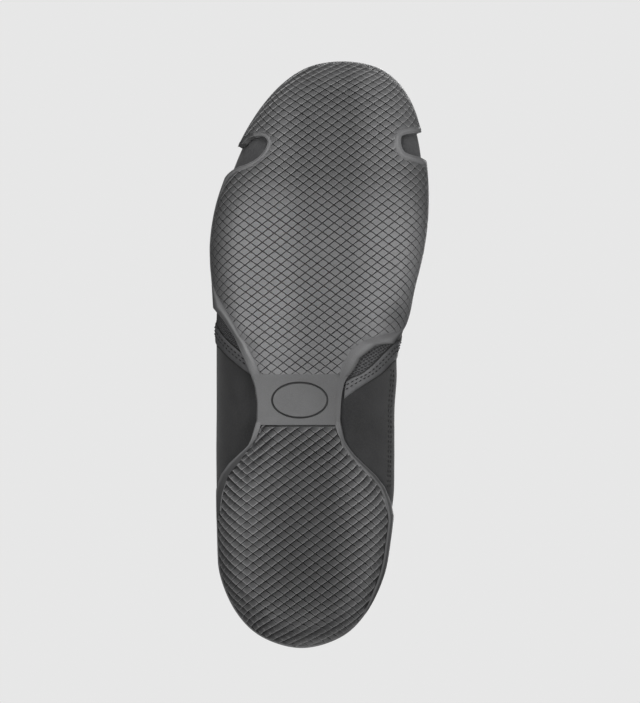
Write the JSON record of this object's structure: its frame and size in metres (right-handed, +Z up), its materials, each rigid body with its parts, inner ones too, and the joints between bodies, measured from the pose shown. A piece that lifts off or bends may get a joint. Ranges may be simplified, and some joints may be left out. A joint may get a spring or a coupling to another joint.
{
  "type": "boxing_shoe",
  "caption": "Ankle-high boxing shoe for the right foot, black, laced and empty, lying on its lateral side, with a thin grey rubber outsole of diamond tread that narrows to a smooth waist.",
  "frame": {"origin": "bottom centre of the bounding box, on the floor that the shoe lies on", "axes": "+X from the toe to the heel, +Y from the sole to the collar, +Z up from the floor, from the lateral to the medial side"},
  "size_m": [0.2852, 0.1788, 0.1073],
  "materials": {
    "rubber": "matte grey moulded rubber with a fine diamond tread",
    "suede": "matte black suede and mesh",
    "facing": "matte black smooth leather",
    "lining": "black knitted lining",
    "cord": "black braided lace",
    "black_metal": "black satin paint"
  },
  "bodies": {
    "root": {"outsole": "rubber", "upper": "suede", "insole": "lining", "tongue": "suede", "eyestay": "facing", "collar_binding": "facing", "strip_medial": "facing", "strip_lateral": "facing", "eyelet_medial_1": "black_metal", "eyelet_medial_2": "black_metal", "eyelet_medial_3": "black_metal", "eyelet_medial_4": "black_metal", "eyelet_medial_5": "black_metal", "eyelet_medial_6": "black_metal", "eyelet_medial_7": "black_metal", "eyelet_lateral_1": "black_metal", "eyelet_lateral_2": "black_metal", "eyelet_lateral_3": "black_metal", "eyelet_lateral_4": "black_metal", "eyelet_lateral_5": "black_metal", "eyelet_lateral_6": "black_metal", "eyelet_lateral_7": "black_metal", "lace_bar": "cord", "lace_cross_1": "cord", "lace_cross_2": "cord", "lace_cross_3": "cord", "lace_cross_4": "cord", "lace_cross_5": "cord", "lace_cross_6": "cord"}
  },
  "joints": []
}
